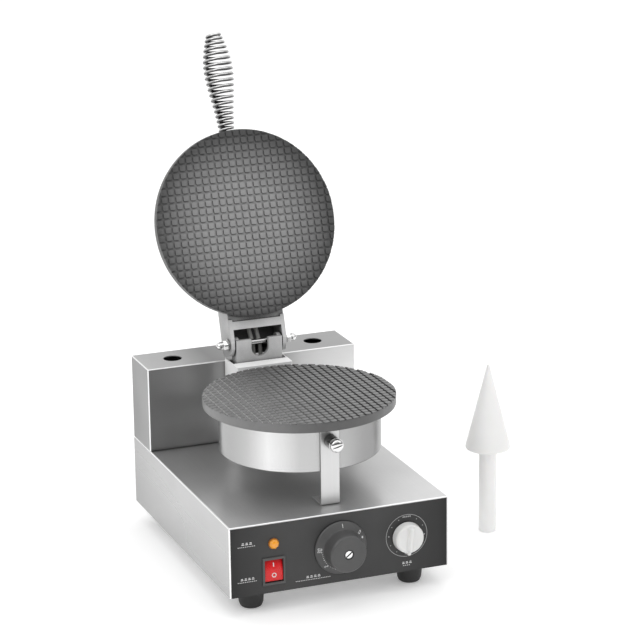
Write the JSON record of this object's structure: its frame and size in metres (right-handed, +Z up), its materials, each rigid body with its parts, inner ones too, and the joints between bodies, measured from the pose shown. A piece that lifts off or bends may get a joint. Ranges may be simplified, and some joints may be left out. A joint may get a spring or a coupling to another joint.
{
  "type": "waffle cone baker",
  "caption": "Countertop electric waffle cone baker: round gridded plates, tilting lid with a coiled wire handle, control panel, and a separate cone former.",
  "frame": {"origin": "centre of the footprint of the whole set, machine with its lid open and the former beside it, on the surface it stands on", "axes": "+X to the right seen from the front, +Y to the back, +Z up"},
  "size_m": [0.3822, 0.4066, 0.5513],
  "materials": {
    "stainless": "satin, brushed",
    "panel_steel": "dark printed face",
    "rubber": "matte",
    "zinc_steel": "satin",
    "cast_aluminium": "as cast, bead blasted",
    "coated_plate": "non-stick coating",
    "heater_steel": "oxidised",
    "insulation": "mineral fibre",
    "dark_bushing": "gloss",
    "chrome": "polished",
    "amber_lens": "clear",
    "black_plastic": "satin",
    "red_plastic": "gloss",
    "knob_black": "satin",
    "knob_white": "satin",
    "white_plastic": "matte",
    "copper": "drawn",
    "wire_sleeve": "matte",
    "lead_sleeve": "glass-fibre sleeve",
    "white_former": "satin"
  },
  "bodies": {
    "base": {"base_hex_nuts": "zinc_steel", "base_housing": "stainless", "bottom_plate": "stainless", "bracket_bolts": "zinc_steel", "cable_gland": "black_plastic", "foot_nuts": "zinc_steel", "foot_screws": "zinc_steel", "front_panel": "panel_steel", "gland_nut": "black_plastic", "heater_lead_sleeves": "lead_sleeve", "hinge_column_cover": "stainless", "housing_screws": "zinc_steel", "internal_wiring": "wire_sleeve", "lower_drum": "stainless", "lower_drum_stud": "zinc_steel", "lower_heater": "heater_steel", "lower_heater_clamp": "zinc_steel", "lower_hinge_bracket": "cast_aluminium", "lower_insulation": "insulation", "lower_plate": "coated_plate", "lower_plate_bolts": "zinc_steel", "pilot_body": "black_plastic", "pilot_lens": "amber_lens", "rear_cover": "stainless", "rear_housing": "stainless", "rear_screws": "zinc_steel", "rubber_feet": "rubber", "strip_screw": "zinc_steel", "support_bolt": "chrome", "support_bush": "dark_bushing", "support_strip": "stainless", "support_washer": "chrome", "switch_housing": "black_plastic", "terminal_block": "white_plastic", "thermostat_body": "zinc_steel", "thermostat_bulb": "copper", "timer_body": "zinc_steel"},
    "lid": {"upper_plate": "coated_plate", "lid_arm": "cast_aluminium", "lid_arm_bolts": "zinc_steel", "hinge_pin": "chrome", "hinge_acorn_nuts": "chrome", "hinge_washers": "chrome", "upper_heater": "heater_steel", "upper_heater_clamp": "zinc_steel", "upper_insulation": "insulation", "upper_cover": "stainless", "upper_cover_stud": "zinc_steel", "lid_hex_nuts": "zinc_steel", "handle_ferrule": "chrome", "handle_coil": "chrome"},
    "temperature_dial": {"temperature_knob": "knob_black", "temperature_knob_screw": "chrome", "thermostat_shaft": "zinc_steel"},
    "timer_dial": {"timer_knob": "knob_white", "timer_shaft": "zinc_steel"},
    "rocker": {"switch_rocker": "red_plastic"},
    "former": {"former_cone": "white_former", "former_handle": "white_former"}
  },
  "joints": [
    {"name": "lid_hinge", "type": "hinge", "parent": "base", "child": "lid", "pos_m": [-0.06665, 0.07429, 0.2197], "axis": [1, 0, 0], "range_deg": [0, 107.9], "deforming": ["heater_lead_sleeves"]},
    {"name": "temperature_turn", "type": "hinge", "parent": "base", "child": "temperature_dial", "pos_m": [-0.06665, -0.17521, 0.062], "axis": [0, 1, 0], "range_deg": [0, 300]},
    {"name": "timer_turn", "type": "hinge", "parent": "base", "child": "timer_dial", "pos_m": [0.00935, -0.17521, 0.0626], "axis": [0, 1, 0], "range_deg": [0, 300]},
    {"name": "rocker_press", "type": "hinge", "parent": "base", "child": "rocker", "pos_m": [-0.14205, -0.17121, 0.047], "axis": [1, 0, 0], "range_deg": [0, 16]},
    {"name": "former_lift", "type": "slide", "parent": "base", "child": "former", "axis": [0, 0, 1], "range_m": [0, 0.3]}
  ]
}
